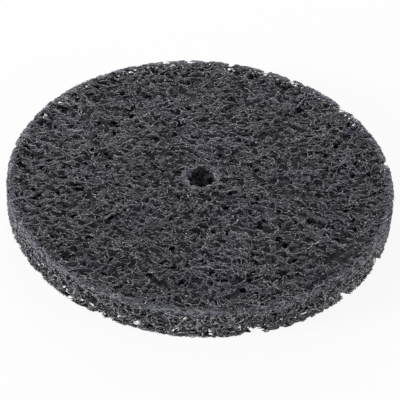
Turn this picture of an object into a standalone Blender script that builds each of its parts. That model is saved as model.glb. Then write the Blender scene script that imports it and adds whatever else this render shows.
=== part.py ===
"""An open-web abrasive stripping disc: one piece of bonded fibre web with a punched bore.

It lies flat, with its axis along Z and the middle of its underside at the origin. Strands of the
web meet at nodes, and between the nodes lie pores. Most pores are blind pits. Some run right
through the disc, and some run from a face out to the rim, where the real web lets light through.
"""

import math
import random

import bmesh
import bpy
from mathutils import Quaternion, Vector
from mathutils.bvhtree import BVHTree
from mathutils.geometry import delaunay_2d_cdt

# Driving dimensions, in metres.
DISC_DIAMETER = 0.150
DISC_THICKNESS = 0.0127
BORE_DIAMETER = 0.010
FLAT_LAND = 0.0042  # width of the ring round the bore that has no pits
PORE_PITCH = 0.0039  # from one pore's middle to the next
PORE_DEPTH = 0.0031
DRIFT = 0.0027  # how far the rows of pores wander sideways
DRIFT_SPAN = 0.045  # from one bend of the rows to the next
RIM_PORE_DEPTH = 0.0026  # how far a pore of the rim reaches inwards
RIM_NOTCH = 0.0018  # how far a gap in the rim's two edges reaches inwards
EDGE_DROP = 0.0006  # how far the rim's edges sit below the flat of a face
THROAT_DEPTH = 0.0017  # from the mouth of an open pore to its narrowest place
LOST_TUFT_WIDTH = 0.009  # the place on the lower edge where a tuft of web has torn out
LOST_TUFT_DEPTH = 0.0034
TORN_GAP_WIDTH = 0.0066  # a smaller place of that kind on the upper edge
TORN_GAP_DEPTH = 0.0026
LEAST_WALL = 0.0004  # of web, between a passage and anything beside it

# Shares, counts and angles.
BORE_SIDES = 32
CLOSED_SHARE = 0.12  # of pores, filled level with resin
SUNK_SHARE = 0.42  # of strand nodes, sunk between two pores
NODE_JITTER = 0.28  # of the node spacing
THROAT_SHARE = 0.34  # of a pore's mouth, left open at its throat
THROUGH_GAPS = 50  # pores that run through both faces
RIM_GAPS = 21  # pores of each face that come out at the rim
TILT_SHARE = 0.5  # of the turn from a pore's mouth to its passage, made at the throat
CLEAR_STEPS = 6  # places along a passage that are looked at
LOST_TUFT_ANGLE = math.radians(-72)
TORN_GAP_ANGLES = tuple(math.radians(angle) for angle in (12, 38, 62, 71, 82, 96, 104))
SEED = 7

# Worked out from the values above.
DISC_RADIUS = DISC_DIAMETER / 2
BORE_RADIUS = BORE_DIAMETER / 2
NODE_SPACING = PORE_PITCH / math.sqrt(2)
THROAT_RADIUS = NODE_SPACING * THROAT_SHARE
RIM_NODES = 8 * round(math.pi * DISC_DIAMETER / NODE_SPACING / 8)
RIM_ROWS = 2 * round(DISC_THICKNESS / NODE_SPACING / 2)
RIM_STEP = 2 * math.pi / RIM_NODES
RIM_RUN = RIM_PORE_DEPTH + 0.78 * PORE_PITCH  # how far in a face's pore that opens to the rim lies
RIM_BAND = RIM_PORE_DEPTH + 0.6 * NODE_SPACING  # the ring along a face's rim with shallow pores
QUARTER = RIM_NODES // 4  # the rim's quarter points are nodes that hold the true diameter


def clear_scene():
    """Removes whatever the scene held."""
    for obj in list(bpy.data.objects):
        bpy.data.objects.remove(obj, do_unlink=True)


def is_pore(column, row):
    """True at every second site of a square lattice, so each pore has four nodes round it."""
    return (column + row) % 2 == 1


def around(radius, angle, z=0.0):
    """The point at that radius, angle and height."""
    return Vector((radius * math.cos(angle), radius * math.sin(angle), z))


def drift(x, y):
    """Where a point of the lattice lies once its rows wander."""
    turn = 2 * math.pi / DRIFT_SPAN
    return Vector((x + DRIFT * math.sin(turn * y), y + DRIFT * math.sin(0.8 * turn * x + 1)))


def face_sites(rng):
    """The points of a face's lattice by (column, row), clear of the rim and of the bore."""
    jitter = NODE_JITTER * NODE_SPACING
    outer = DISC_RADIUS - RIM_NOTCH - 0.45 * NODE_SPACING - jitter
    inner = BORE_RADIUS + 0.7 * NODE_SPACING + jitter
    reach = math.ceil((DISC_RADIUS + DRIFT) / NODE_SPACING)
    sites = {}
    for row in range(-reach, reach + 1):
        for column in range(-reach, reach + 1):
            point = drift(column * NODE_SPACING, row * NODE_SPACING)
            if inner < point.length < outer:
                shift = around(jitter * math.sqrt(rng.random()), rng.uniform(0, 2 * math.pi))
                sites[column, row] = point + shift.to_2d()
    return sites


def strands_between(sites):
    """Pairs of neighbouring nodes, as indexes into the sites: each strand has a pore on both sides."""
    index = {site: i for i, site in enumerate(sites)}
    pairs = []
    for column, row in sites:
        for step in (1, -1):
            other = (column + 1, row + step)
            if not is_pore(column, row) and other in index:
                pairs.append((index[column, row], index[other]))
    return pairs


def plan_face(rng):
    """The plan of both faces: its points, which of them are pores, and its triangles.

    The first RIM_NODES points are the rim's, and the next BORE_SIDES are the bore's.
    """
    points = [around(DISC_RADIUS, j * RIM_STEP).to_2d() for j in range(RIM_NODES)]
    bore_step = 2 * math.pi / BORE_SIDES
    points += [around(BORE_RADIUS, j * bore_step).to_2d() for j in range(BORE_SIDES)]
    sites = face_sites(rng)
    first = len(points)
    strands = [(first + a, first + b) for a, b in strands_between(sites)]
    pores = [False] * first + [is_pore(*site) for site in sites]
    points += sites.values()
    bore = range(RIM_NODES, RIM_NODES + BORE_SIDES)
    _, _, found, source, _, _ = delaunay_2d_cdt(points, strands, [], 0, 1e-7)
    triangles = [[source[v][0] for v in corners] for corners in found]
    return points, pores, [t for t in triangles if not all(c in bore for c in t)]


def add_face(bm, plan, height, inwards, rng):
    """Adds one face of the disc, pitted towards inwards. Returns its vertices and its pores."""
    points, pores, triangles = plan
    land = BORE_RADIUS + FLAT_LAND
    verts = []
    open_pores = []
    for index, (point, pore) in enumerate(zip(points, pores)):
        depth = 0.0
        if index < RIM_NODES:
            depth = EDGE_DROP
        elif point.length > land and pore and rng.random() > CLOSED_SHARE:
            depth = PORE_DEPTH * rng.uniform(0.5, 1.15)
            if point.length > DISC_RADIUS - RIM_BAND:
                depth /= 2
        elif point.length > land and not pore and rng.random() < SUNK_SHARE:
            depth = PORE_DEPTH * rng.uniform(0.1, 0.45)
        verts.append(bm.verts.new((point.x, point.y, height + inwards * depth)))
        if pore and depth:
            open_pores.append(verts[-1])
    for corners in triangles:
        ring = [verts[c] for c in corners]
        bm.faces.new(ring if inwards < 0 else reversed(ring))
    return verts, open_pores


def add_bore_wall(bm, top, bottom):
    """Joins the two faces round the bore."""
    for j in range(BORE_SIDES):
        here = RIM_NODES + j
        after = RIM_NODES + (j + 1) % BORE_SIDES
        bm.faces.new((top[here], top[after], bottom[after], bottom[here]))


def add_rim_wall(bm, top, bottom, rng):
    """Joins the two faces round the rim. Returns the pores of its middle row."""
    rows = [top[:RIM_NODES]]
    middle_pores = []
    for row in range(1, RIM_ROWS):
        verts = []
        for column in range(RIM_NODES):
            pore = is_pore(column, row)
            depth = RIM_PORE_DEPTH * rng.uniform(0.7, 1.2) if pore else RIM_NOTCH * rng.uniform(0, 0.5)
            angle = (column + rng.uniform(-0.28, 0.28)) * RIM_STEP
            z = DISC_THICKNESS * (1 - (row + rng.uniform(-0.18, 0.18)) / RIM_ROWS)
            verts.append(bm.verts.new(around(DISC_RADIUS - depth, angle, z)))
            if pore and row == RIM_ROWS // 2:
                middle_pores.append(verts[-1])
        rows.append(verts)
    rows.append(bottom[:RIM_NODES])
    for row, (upper, lower) in enumerate(zip(rows, rows[1:])):
        for column in range(RIM_NODES):
            after = (column + 1) % RIM_NODES
            ring = [upper[column], lower[column], lower[after], upper[after]]
            if is_pore(column, row):
                ring = ring[1:] + ring[:1]
            bm.faces.new((ring[0], ring[1], ring[2]))
            bm.faces.new((ring[0], ring[2], ring[3]))
    return middle_pores


def draw_in(vert, depth):
    """Moves a vertex towards the disc's axis."""
    vert.co.xy *= 1 - depth / vert.co.xy.length


def tear_out(edge, angle, width, depth, inwards):
    """Tears a tuft out of one of the rim's edges, whose face is pitted towards inwards."""
    reach = width / DISC_DIAMETER
    lift = min(depth / 2, 0.4 * DISC_THICKNESS / RIM_ROWS)
    for j, vert in enumerate(edge[:RIM_NODES]):
        off = math.remainder(j * RIM_STEP - angle, 2 * math.pi)
        if abs(off) < reach and j % QUARTER:
            draw_in(vert, depth * math.cos(off / reach * math.pi / 2) / 2)
            vert.co.z += inwards * lift


def notch_edges(top, bottom, rng):
    """Pushes gaps into the rim's two edges, and tears out its lost tufts."""
    for edge in (top, bottom):
        for j, vert in enumerate(edge[:RIM_NODES]):
            if j % QUARTER:
                share = rng.uniform(0.3, 1.0) if is_pore(j, 0) else rng.uniform(0.0, 0.5)
                draw_in(vert, RIM_NOTCH * share)
    tear_out(bottom, LOST_TUFT_ANGLE, LOST_TUFT_WIDTH, LOST_TUFT_DEPTH, 1)
    for angle in TORN_GAP_ANGLES:
        tear_out(top, angle, TORN_GAP_WIDTH, TORN_GAP_DEPTH, -1)


def mouth_of(pore):
    """The nodes round a pore, in the order in which its faces turn, and their middle."""
    after = {loop.link_loop_next.vert: loop.link_loop_prev.vert for loop in pore.link_loops}
    ring = [next(iter(after))]
    while after[ring[-1]] is not ring[0]:
        ring.append(after[ring[-1]])
    return ring, sum((vert.co for vert in ring), Vector()) / len(ring)


def open_throat(bm, pore, towards):
    """Takes the floor out of a pore and narrows it to a throat. Returns the throat's ring."""
    ring, middle = mouth_of(pore)
    way = (towards - middle).normalized()
    turn = Quaternion().slerp((-pore.normal).rotation_difference(way), TILT_SHARE)
    throat = []
    for vert in ring:
        offset = turn @ (vert.co - middle) * THROAT_SHARE
        throat.append(bm.verts.new(middle + way * THROAT_DEPTH + offset))
    bmesh.ops.delete(bm, geom=[pore], context="VERTS")
    for j, vert in enumerate(ring):
        after = (j + 1) % len(ring)
        bm.faces.new((vert, ring[after], throat[after], throat[j]))
    return throat


def twist(first, second, start):
    """How far apart the corners of two throats lie if the second begins at start."""
    pairs = [(vert, start + j * len(second) // len(first)) for j, vert in enumerate(first)]
    return sum((vert.co - second[k % len(second)].co).length for vert, k in pairs)


def join_throats(bm, first, second):
    """Runs a passage between two throats, which may have unlike numbers of corners."""
    second = second[::-1]
    start = min(range(len(second)), key=lambda k: twist(first, second, k))
    second = second[start:] + second[:start]
    i = j = 0
    while i < len(first) or j < len(second):
        a, b = first[i % len(first)], second[j % len(second)]
        if (i + 1) * len(second) <= (j + 1) * len(first):
            i += 1
            bm.faces.new((a, first[i % len(first)], b))
        else:
            j += 1
            bm.faces.new((a, second[j % len(second)], b))


def way_is_clear(tree, first, second):
    """True if a passage between two pores keeps a wall between itself and every other face."""
    own = {face.index for pore in (first, second) for face in pore.link_faces}
    ends = [mouth_of(pore)[1] for pore in (first, second)]
    way = ends[1] - ends[0]
    open_run = way.length - 2 * THROAT_DEPTH
    if open_run <= 0:
        return False
    for step in range(CLEAR_STEPS + 1):
        reach = (THROAT_DEPTH + open_run * step / CLEAR_STEPS) / way.length
        near = tree.find_nearest_range(ends[0] + way * reach, THROAT_RADIUS + LEAST_WALL)
        if any(index not in own for _, _, index, _ in near):
            return False
    return True


def through_pairs(top, bottom, top_pores, bottom_pores, rng):
    """Pairs of open pores at one place on both faces, spread out and inside of the rim's."""
    above = set(top_pores)
    below = set(bottom_pores)
    reach = DISC_RADIUS - RIM_RUN - 1.8 * PORE_PITCH
    pairs = [(a, b) for a, b in zip(top, bottom) if a in above and b in below]
    rng.shuffle(pairs)
    chosen = []
    for a, b in pairs:
        far = all((a.co - c.co).length > 2.2 * PORE_PITCH for c, _ in chosen)
        if len(chosen) < THROUGH_GAPS and a.co.xy.length < reach and far:
            chosen.append((a, b))
    return chosen


def rim_pairs(tree, face_pores, rim_pores, rng):
    """Pairs of an open pore of a face and one of the rim, outwards of it."""
    pairs = []
    for rim_pore in rim_pores:
        angle = math.atan2(rim_pore.co.y, rim_pore.co.x)
        aim = around(DISC_RADIUS - RIM_RUN, angle).xy
        nearest = min(face_pores, key=lambda pore: (pore.co.xy - aim).length)
        if (nearest.co.xy - aim).length < 0.55 * PORE_PITCH and way_is_clear(tree, nearest, rim_pore):
            pairs.append((nearest, rim_pore))
    rng.shuffle(pairs)
    return pairs[:RIM_GAPS]


def build_web():
    """Makes the disc's mesh."""
    rng = random.Random(SEED)
    plan = plan_face(rng)
    bm = bmesh.new()
    top, top_pores = add_face(bm, plan, DISC_THICKNESS, -1, rng)
    bottom, bottom_pores = add_face(bm, plan, 0.0, 1, rng)
    add_bore_wall(bm, top, bottom)
    rim_pores = add_rim_wall(bm, top, bottom, rng)
    notch_edges(top, bottom, rng)

    bmesh.ops.triangulate(bm, faces=bm.faces[:])
    bm.faces.index_update()
    bm.normal_update()
    tree = BVHTree.FromBMesh(bm)
    pairs = through_pairs(top, bottom, top_pores, bottom_pores, rng)
    pairs = [pair for pair in pairs if way_is_clear(tree, *pair)]
    pairs += rim_pairs(tree, top_pores, rim_pores[0::2], rng)
    pairs += rim_pairs(tree, bottom_pores, rim_pores[1::2], rng)
    for first, second in pairs:
        ends = mouth_of(first)[1], mouth_of(second)[1]
        throats = open_throat(bm, first, ends[1]), open_throat(bm, second, ends[0])
        join_throats(bm, *throats)
    bmesh.ops.triangulate(bm, faces=bm.faces[:])
    mesh = bpy.data.meshes.new("web_disc")
    bm.to_mesh(mesh)
    bm.free()
    return mesh


def web_material():
    """Charcoal resin over nylon fibre, loaded with abrasive grain."""
    material = bpy.data.materials.new("web")
    material.use_nodes = True
    shader = material.node_tree.nodes["Principled BSDF"]
    shader.inputs["Base Color"].default_value = (0.045, 0.046, 0.052, 1.0)
    shader.inputs["Roughness"].default_value = 0.6
    shader.inputs["Metallic"].default_value = 0.0
    return material


def main():
    clear_scene()
    disc = bpy.data.objects.new("web_disc", build_web())
    disc.data.materials.append(web_material())
    bpy.context.scene.collection.objects.link(disc)


main()
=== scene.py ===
"""An open-web grinding wheel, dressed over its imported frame.

The wheel is one mat of crimped fibres, bonded with dark resin that carries abrasive grain, and it
is punched out of a thick sheet with a plain bore in its middle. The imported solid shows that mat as
a faceted, pitted skin. This scene stands real strands in its place: they are laid at random, pushed
out of the voids of the web, pressed flat where the sheet was pressed, and cut off at the punch.
"""

import logging
import math
from dataclasses import dataclass
from enum import Enum
from functools import reduce

import bpy
import numpy as np
from mathutils import Matrix, Vector
from mathutils.kdtree import KDTree


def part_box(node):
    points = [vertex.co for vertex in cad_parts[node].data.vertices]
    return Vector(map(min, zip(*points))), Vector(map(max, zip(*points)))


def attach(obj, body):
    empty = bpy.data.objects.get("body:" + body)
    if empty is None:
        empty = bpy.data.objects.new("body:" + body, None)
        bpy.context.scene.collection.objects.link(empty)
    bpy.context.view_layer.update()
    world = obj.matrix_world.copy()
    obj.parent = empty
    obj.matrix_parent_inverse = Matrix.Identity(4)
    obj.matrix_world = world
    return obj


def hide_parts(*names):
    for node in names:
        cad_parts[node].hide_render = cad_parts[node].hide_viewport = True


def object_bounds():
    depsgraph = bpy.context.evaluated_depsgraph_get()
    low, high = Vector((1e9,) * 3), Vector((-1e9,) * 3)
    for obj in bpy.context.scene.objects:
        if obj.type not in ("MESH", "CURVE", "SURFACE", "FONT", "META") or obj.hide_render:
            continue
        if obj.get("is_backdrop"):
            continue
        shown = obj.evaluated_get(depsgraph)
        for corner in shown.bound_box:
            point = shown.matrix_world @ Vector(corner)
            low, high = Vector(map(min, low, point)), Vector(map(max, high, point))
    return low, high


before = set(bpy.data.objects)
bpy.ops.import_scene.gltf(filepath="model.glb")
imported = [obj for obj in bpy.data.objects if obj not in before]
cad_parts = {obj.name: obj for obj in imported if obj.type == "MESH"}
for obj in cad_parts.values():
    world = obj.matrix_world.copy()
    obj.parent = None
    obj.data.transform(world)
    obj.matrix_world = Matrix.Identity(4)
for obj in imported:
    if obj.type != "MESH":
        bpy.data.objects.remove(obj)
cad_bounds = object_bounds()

LOG = logging.getLogger("grinding_wheel")
Array = np.ndarray
Colour = tuple[float, float, float]
Socket = bpy.types.NodeSocket
Material = bpy.types.Material
MM = 0.001
NODE = "web_disc"
BODY = "root"
BELOW = -2.0  # a height under the lower face, in millimetres
ABOVE = 14.5  # a height over the upper face, in millimetres
TINY = 1e-6  # the least divisor
NEVER = 9.0  # a level of tearing that the web never reaches
ALONG_X = (0.5, 1.0, 1.0)  # scales that draw a texture out along x


class Wrap(Enum):
    """How a layer lies in the blank."""

    LEVEL = "along the faces"
    ROUND = "round the axis"


@dataclass(frozen=True)
class Patches:
    """A smooth random field over the wheel, which makes its shapes uneven.

    Attributes:
        size: Usual width of a patch in millimetres.
        waves: Number of waves that are added up.
        seed: Start of the random draws.
        stretch: How many times as long as wide a patch is.
        flatness: How many times as wide as high a patch is.
    """

    size: float
    waves: int
    seed: int
    stretch: float = 1.0
    flatness: float = 1.6

    def at(self, points: Array) -> Array:
        """Reads the field, with a spread of about one.

        Args:
            points: Points in millimetres.

        Returns:
            A value for each point.
        """
        rng = np.random.default_rng(self.seed)
        total = np.zeros(points.shape[:-1])
        for _ in range(self.waves):
            way = rng.normal(size=3) * (1.0 / self.stretch, 1.0, self.flatness) * math.tau / self.size / 2
            total += np.sin(points @ way + rng.uniform(0, math.tau))
        return total * math.sqrt(2 / self.waves)


@dataclass(frozen=True)
class Fray:
    """How far a ragged cut wanders, which is as far as a field rises above a level.

    Attributes:
        field: The field.
        level: Its level above which the cut wanders.
        most: The most that the cut wanders.
        weight: Strength of this fray among others.
    """

    field: Patches
    level: float
    most: float
    weight: float = 1.0

    def at(self, points: Array) -> Array:
        """Reads how far the cut wanders at each point."""
        return self.weight * np.clip(self.field.at(points) - self.level, 0, self.most)


@dataclass(frozen=True)
class Notch:
    """A bite out of the rim, where a tuft of the web came away.

    Attributes:
        bearing: Where it is, in degrees anticlockwise from the x axis.
        width: Its width in millimetres.
        depth: Its depth in millimetres.
        low: Its lowest height in millimetres.
        high: Its highest height in millimetres.
        ragged: Unevenness of its edge.
        tatter: How far that unevenness moves the edge, as a share of the bite.
    """

    bearing: float
    width: float
    depth: float
    low: float
    high: float
    ragged: Patches = Patches(size=1.5, waves=12, seed=70)
    tatter: float = 0.45

    def holds(self, points: Array, radius: float) -> Array:
        """Says which points lie in the bite.

        Args:
            points: Points in millimetres.
            radius: Radius of the wheel.

        Returns:
            True for each point in the bite.
        """
        turn = math.radians(self.bearing)
        out = points[..., 0] * math.cos(turn) + points[..., 1] * math.sin(turn)
        aside = points[..., 1] * math.cos(turn) - points[..., 0] * math.sin(turn)
        reach = ((radius - out) / self.depth) ** 2 + (2 * aside / self.width) ** 2
        reach -= self.tatter * self.ragged.at(points)
        level = (points[..., 2] > self.low) & (points[..., 2] < self.high)
        return (reach < 1) & (out > 0) & level


NOTCHES = (
    Notch(bearing=104.0, width=3.0, depth=2.2, low=5.0, high=ABOVE),
    Notch(bearing=95.9, width=2.4, depth=2.0, low=6.0, high=ABOVE),
    Notch(bearing=82.5, width=3.6, depth=3.6, low=3.0, high=ABOVE),
    Notch(bearing=70.9, width=2.6, depth=2.4, low=6.0, high=ABOVE),
    Notch(bearing=61.9, width=2.2, depth=2.0, low=6.0, high=ABOVE),
    Notch(bearing=41.0, width=4.8, depth=2.6, low=5.0, high=ABOVE),
    Notch(bearing=36.1, width=2.6, depth=2.0, low=7.0, high=ABOVE),
    Notch(bearing=12.2, width=4.0, depth=2.6, low=5.0, high=ABOVE),
    Notch(bearing=-72.0, width=8.0, depth=3.2, low=BELOW, high=3.6),
    Notch(bearing=-41.0, width=3.5, depth=2.6, low=BELOW, high=3.0),
    Notch(bearing=-23.0, width=4.5, depth=3.0, low=BELOW, high=3.5),
    Notch(bearing=-117.0, width=2.6, depth=1.3, low=BELOW, high=2.0),
    Notch(bearing=-128.0, width=2.2, depth=1.3, low=BELOW, high=2.0),
)


@dataclass(frozen=True)
class Blank:
    """The punched blank, with sizes in millimetres.

    Attributes:
        radius: Outer radius of the wheel.
        thickness: Height of the wheel.
        bore: Radius of the bore.
        cut: How far inside of the outer radius the punch cut the strands.
        rim_rough: How far the cut of the rim wanders inwards.
        bore_rough: How far the cut of the bore wanders outwards.
        pressed: Depth below a face over which the press squeezed the web.
        droop: How far the upper face drops at the rim.
        shoulder: Width of the ring over which it drops.
        skim: Distance of the outermost strands from a face.
        soft: Width of the ring over which strands are packed along a cut.
        upright: How quickly the raggedness of the cuts changes along x, y and z.
        rim_frays: Coarse and fine raggedness of the rim.
        bore_fray: Raggedness of the bore.
        notches: Bites out of the rim.
    """

    radius: float = 75.0
    thickness: float = 12.7
    bore: float = 5.0
    cut: float = 0.03
    rim_rough: float = 0.75
    bore_rough: float = 1.125
    pressed: float = 1.5
    droop: float = 0.35
    shoulder: float = 1.6
    skim: float = 0.01
    soft: float = 0.8
    upright: tuple[float, float, float] = (1.0, 1.0, 0.3)
    rim_frays: tuple[Fray, ...] = (
        Fray(Patches(size=2.2, waves=16, seed=71), level=0.3, most=1.4),
        Fray(Patches(size=1.1, waves=16, seed=73), level=0.2, most=1.6, weight=0.75),
    )
    bore_fray: Fray = Fray(Patches(size=1.8, waves=16, seed=72), level=-0.1, most=1.3)
    notches: tuple[Notch, ...] = NOTCHES

    def press(self, points: Array, half: Array) -> None:
        """Squeezes points near the two faces until their strands lie inside of the blank.

        Args:
            points: Points of strands, which are changed.
            half: Half the thickness of the strand at each point.
        """
        reach = np.hypot(points[..., 0], points[..., 1])
        edge = np.clip((reach - self.radius + self.shoulder) / self.shoulder, 0, 1)
        middle = self.thickness / 2
        height = points[..., 2] - middle
        room = self.pressed - half
        over = np.abs(height) - (middle - self.pressed)
        squeezed = middle - half - room * np.exp(-np.maximum(over, 0.0) / room)
        level = np.where(over > 0, np.sign(height) * squeezed, height)
        points[..., 2] = middle + level - np.maximum(level / middle, 0) * self.droop * edge**2

    def bitten(self, points: Array) -> Array:
        """Says which points lie in a bite out of the rim.

        Args:
            points: Points in millimetres.

        Returns:
            True for each point in a bite.
        """
        inside = np.zeros(points.shape[:-1], dtype=bool)
        for notch in self.notches:
            inside |= notch.holds(points, self.radius)
        return inside

    def gather(self, points: Array, half: Array) -> None:
        """Packs the strands that the punch only just reached along the rim and round the bore.

        Args:
            points: Points of strands, which are changed.
            half: Half the width of the strand at each point.
        """
        reach = np.hypot(points[..., 0], points[..., 1])
        column, soft = points * self.upright, self.soft
        frayed = sum(fray.at(column) for fray in self.rim_frays)
        rim = self.radius - self.cut - self.rim_rough * frayed
        over = np.maximum(reach - (rim - soft), 0.0) / soft
        moved = np.where(over > 0, rim - soft + (soft - half) * np.tanh(over), reach)
        bore = self.bore + self.bore_rough * self.bore_fray.at(column)
        under = np.maximum(bore + soft - reach, 0.0) / soft
        moved = np.where(under > 0, bore + soft - (soft - half) * np.tanh(under), moved)
        points[..., :2] *= (moved / np.maximum(reach, TINY))[..., None]


@dataclass(frozen=True)
class Lattice:
    """Voids on shaken triangular lattices, one for each level. Sizes are in millimetres.

    Attributes:
        blank: The blank that holds them.
        pitch: Distance between neighbouring voids of one level.
        heights: Heights of the levels.
        inner: Smallest radius at which they lie.
        least: Smallest radius of a void.
        most: Largest radius of a void.
        seed: Start of the random draws.
        offset: How far each level is shifted along x and y from the one below, in pitches.
        shake: How far a void is moved at random, in pitches, or in millimetres of height.
        beyond: How far outside of the wheel voids still lie.
        skew: Power of the random draw of a radius. Above 1 it favours small ones.
        uneven: Share by which the radii differ from place to place.
        bounds: Least and most of its radius that a void keeps of that.
    """

    blank: Blank
    pitch: float
    heights: tuple[float, ...]
    inner: float
    least: float
    most: float
    seed: int
    offset: tuple[float, float] = (0.37, 0.53)
    shake: float = 0.4
    beyond: float = 0.5
    skew: float = 1.3
    uneven: float = 0.28
    bounds: tuple[float, float] = (0.35, 1.45)

    def build(self) -> "Voids":
        """Places the voids.

        Returns:
            The voids.
        """
        rng = np.random.default_rng(self.seed)
        rise = self.pitch * math.sqrt(3) / 2
        count = math.ceil(self.blank.radius / rise) + 2
        rows, columns = np.mgrid[-count : count + 1, -count : count + 1]
        places = []
        for index, height in enumerate(self.heights):
            x = (columns + rows % 2 / 2 + index * self.offset[0]) * self.pitch
            y = rows * rise + index * self.offset[1] * self.pitch
            layer = np.stack([x.ravel(), y.ravel(), np.full(x.size, height)], axis=1)
            shaken = rng.uniform(-self.shake, self.shake, layer.shape) * (self.pitch, self.pitch, 1.0)
            places.append(layer + shaken)
        middles = np.concatenate(places)
        reach = np.hypot(middles[:, 0], middles[:, 1])
        middles = middles[(reach < self.blank.radius + self.beyond) & (reach > self.inner)]
        radii = self.least + (self.most - self.least) * rng.random(len(middles)) ** self.skew
        field = Patches(size=9.0, waves=14, seed=self.seed + 1, stretch=1.6).at(middles)
        radii *= np.clip(1.0 - self.uneven * field, *self.bounds)
        return Voids(self.blank, middles, radii)


@dataclass(frozen=True)
class Pits:
    """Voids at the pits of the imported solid, so that both have their large pits in one place.

    Attributes:
        blank: The blank that holds them.
        shallow: Least depth of a pit's floor in the solid, in millimetres.
        deep: Greatest depth of a pit's floor.
        depth: Depth of a void's middle.
        edge: Height of the ring along each edge whose pits belong to a face.
        collar: Width of the ring round the bore that has no voids.
        least: Smallest radius of a void.
        most: Largest radius of a void.
        skew: Power of the random draw of a radius. Above 1 it favours small ones.
        seed: Start of the random draws.
    """

    blank: Blank
    shallow: float = 1.45
    deep: float = 3.6
    depth: float = 1.3
    edge: float = 0.9
    collar: float = 1.0
    least: float = 0.5
    most: float = 1.2
    skew: float = 1.2
    seed: int = 17

    def build(self, solid: bpy.types.Object) -> "Voids":
        """Finds the solid's pits and places a void in each.

        Args:
            solid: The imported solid.

        Returns:
            The voids.
        """
        rng = np.random.default_rng(self.seed)
        corners = np.empty(3 * len(solid.data.vertices))
        solid.data.vertices.foreach_get("co", corners)
        corners = corners.reshape(-1, 3) / MM
        reach = np.hypot(corners[:, 0], corners[:, 1])
        under, over = self.blank.thickness - corners[:, 2], corners[:, 2]
        inwards = self.blank.radius - reach
        at_rim = (inwards < self.deep) & (np.minimum(under, over) > self.edge)
        middles = []
        for depth, chosen in ((under, ~at_rim), (over, ~at_rim), (inwards, at_rim)):
            deep_enough = (depth > self.shallow) & (depth < self.deep)
            floors = corners[chosen & deep_enough & (reach > self.blank.bore + self.collar)]
            middles += self.clusters(floors)
        middles = np.array(middles)
        reach = np.hypot(middles[:, 0], middles[:, 1])
        round_about = self.blank.radius - reach < self.deep
        upper = middles[:, 2] > self.blank.thickness / 2
        level = np.where(upper, self.blank.thickness - self.depth, self.depth)
        middles[~round_about, 2] = level[~round_about]
        middles[round_about, :2] *= ((self.blank.radius - self.depth) / reach[round_about])[:, None]
        radii = self.least + (self.most - self.least) * rng.random(len(middles)) ** self.skew
        return Voids(self.blank, middles, radii)

    @staticmethod
    def clusters(floors: Array, span: float = 2.0) -> list[Array]:
        """Finds the middles of points that lie close together.

        Args:
            floors: Points in millimetres.
            span: Greatest distance between points of one cluster.

        Returns:
            The middle of each cluster.
        """
        tree = KDTree(len(floors))
        for index, point in enumerate(floors):
            tree.insert(point, index)
        tree.balance()
        taken = np.zeros(len(floors), dtype=bool)
        middles = []
        for index, point in enumerate(floors):
            if not taken[index]:
                members = [other for _, other, _ in tree.find_range(point, span)]
                taken[members] = True
                middles.append(floors[members].mean(axis=0))
        return middles


@dataclass
class Voids:
    """The voids of the web, as balls that strands are pushed out of. Sizes are in millimetres.

    Attributes:
        blank: The blank that holds them.
        middles: Their middles.
        radii: Their radii.
        near_face: Depth below a face over which a void opens through it.
        near_rim: Depth inside of the rim over which a void opens through it.
        waist: Half the height of the band of the rim where voids open outward.
        neighbours: Number of voids that move a point.
        influence: How many radii off its middle a void still moves points.
        firm: Share of its radius that a void keeps clear in any case.
    """

    blank: Blank
    middles: Array
    radii: Array
    near_face: float = 1.9
    near_rim: float = 2.0
    waist: float = 4.9
    neighbours: int = 5
    influence: float = 2.6
    firm: float = 0.9

    def __post_init__(self) -> None:
        """Finds the way that each void opens, which is zero inside, and files them for searches."""
        reach = np.maximum(np.hypot(self.middles[:, 0], self.middles[:, 1]), TINY)
        height = self.middles[:, 2]
        self.mouths = np.zeros(self.middles.shape)
        self.mouths[height > self.blank.thickness - self.near_face, 2] = 1
        self.mouths[height < self.near_face, 2] = -1
        at_rim = reach > self.blank.radius - self.near_rim
        at_rim &= np.abs(height - self.blank.thickness / 2) < self.waist
        self.mouths[at_rim] = np.stack([self.middles[:, 0], self.middles[:, 1], height * 0], 1)[at_rim]
        self.mouths[at_rim] /= reach[at_rim, None]
        self.tree = KDTree(len(self.middles))
        for index, middle in enumerate(self.middles):
            self.tree.insert(middle, index)
        self.tree.balance()

    def push(self, points: Array) -> Array:
        """Pushes points out of the voids, so that strands bend and bunch between them.

        Args:
            points: Points of strands in rows of three.

        Returns:
            The moved points.
        """
        found = (self.tree.find_n(point, self.neighbours) for point in points)
        near = np.array([[index for _, index, _ in voids] for voids in found])
        moved = points.copy()
        for column in near.T:
            away, distance = self.from_middle(points, column)
            radius = self.radii[column]
            stretch = (distance**3 + radius**3) ** (1 / 3) / distance - 1
            moved += away * (stretch * (distance < self.influence * radius))[:, None]
        for column in near.T:
            away, distance = self.from_middle(moved, column)
            short = np.maximum(self.firm * self.radii[column] / distance - 1, 0)
            moved += away * short[:, None]
        return moved

    def from_middle(self, points: Array, index: Array) -> tuple[Array, Array]:
        """Measures how points lie off the voids' middles, and off the axes of their mouths.

        Args:
            points: Points of strands in rows of three.
            index: The void that each point is measured from.

        Returns:
            The ways off the middles, and their lengths.
        """
        away = points - self.middles[index]
        out = np.sum(away * self.mouths[index], axis=1)
        away = away - self.mouths[index] * np.maximum(out, 0)[:, None]
        return away, np.maximum(np.linalg.norm(away, axis=1), 1e-3)


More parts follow.
